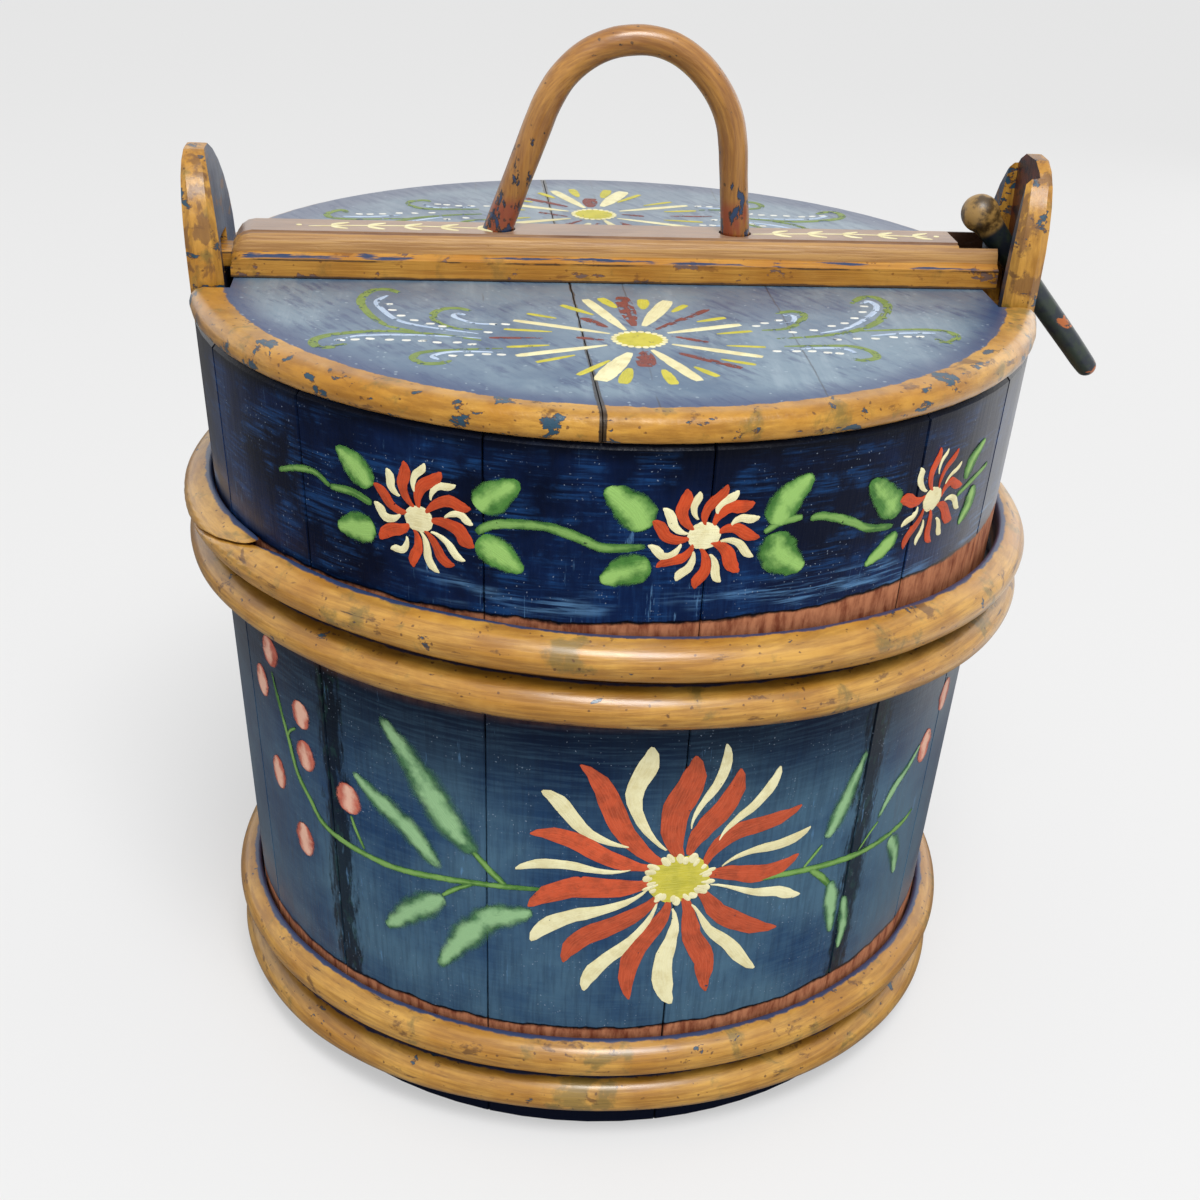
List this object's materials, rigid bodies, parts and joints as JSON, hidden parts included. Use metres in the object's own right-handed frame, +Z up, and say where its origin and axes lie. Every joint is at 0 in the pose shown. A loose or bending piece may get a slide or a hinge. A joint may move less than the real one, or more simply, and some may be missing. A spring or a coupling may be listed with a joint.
{
  "type": "staved lidded tub",
  "caption": "Round wooden staved tub with paired split hoops, two raised ears, a lid under a moulded bar with a bent handle, and a slanted locking peg.",
  "frame": {"origin": "on the ground under the centre of the part's box; the tub's own axis stands about 12 mm to the left of it, because the locking peg reaches out on the right", "axes": "+Z up through the tub and the handle, +X from the left ear to the right ear with the locking peg, +Y away from the painted front"},
  "size_m": [0.2971, 0.2675, 0.3209],
  "materials": {
    "navy_painted_wood": "old blue paint, worn to bare wood at the hoops",
    "ear_painted_wood": "old blue-grey paint with ochre edges",
    "lid_painted_wood": "old grey-blue paint with an ochre rim, satin",
    "ochre_hoop_wood": "ochre paint over bark-side withy, satin",
    "bar_painted_wood": "brown and ochre paint, satin",
    "handle_wood": "ochre-brown paint worn to red-brown wood",
    "peg_wood": "dark paint with an ochre knob",
    "bare_wood": "bare softwood, matte"
  },
  "bodies": {
    "tub": {"stave_front_1": "navy_painted_wood", "stave_front_2": "navy_painted_wood", "stave_front_3": "navy_painted_wood", "stave_front_4": "navy_painted_wood", "stave_front_5": "navy_painted_wood", "stave_front_6": "navy_painted_wood", "stave_front_7": "navy_painted_wood", "stave_back_1": "navy_painted_wood", "stave_back_2": "navy_painted_wood", "stave_back_3": "navy_painted_wood", "stave_back_4": "navy_painted_wood", "stave_back_5": "navy_painted_wood", "stave_back_6": "navy_painted_wood", "stave_back_7": "navy_painted_wood", "ear_stave_left": "ear_painted_wood", "ear_stave_right": "ear_painted_wood", "bottom_board_left": "bare_wood", "bottom_board_middle": "bare_wood", "bottom_board_right": "bare_wood", "lower_hoop_top": "ochre_hoop_wood", "lower_hoop_bottom": "ochre_hoop_wood", "upper_hoop_top": "ochre_hoop_wood", "upper_hoop_bottom": "ochre_hoop_wood"},
    "lid": {"lid_board_left": "lid_painted_wood", "lid_board_right": "lid_painted_wood", "lid_bar": "bar_painted_wood", "handle": "handle_wood", "bar_trenail_1": "bare_wood", "bar_trenail_2": "bare_wood", "bar_trenail_3": "bare_wood", "bar_trenail_4": "bare_wood"},
    "peg": {"locking_peg": "peg_wood"}
  },
  "joints": [
    {"name": "lid_tilt", "type": "hinge", "parent": "tub", "child": "lid", "pos_m": [-0.13746, 0, 0.2497], "axis": [0, -1, 0], "range_deg": [0, 27]},
    {"name": "peg_slide", "type": "slide", "parent": "tub", "child": "peg", "axis": [-0.6521, 0, 0.7581], "range_m": [0, 0.055]}
  ]
}
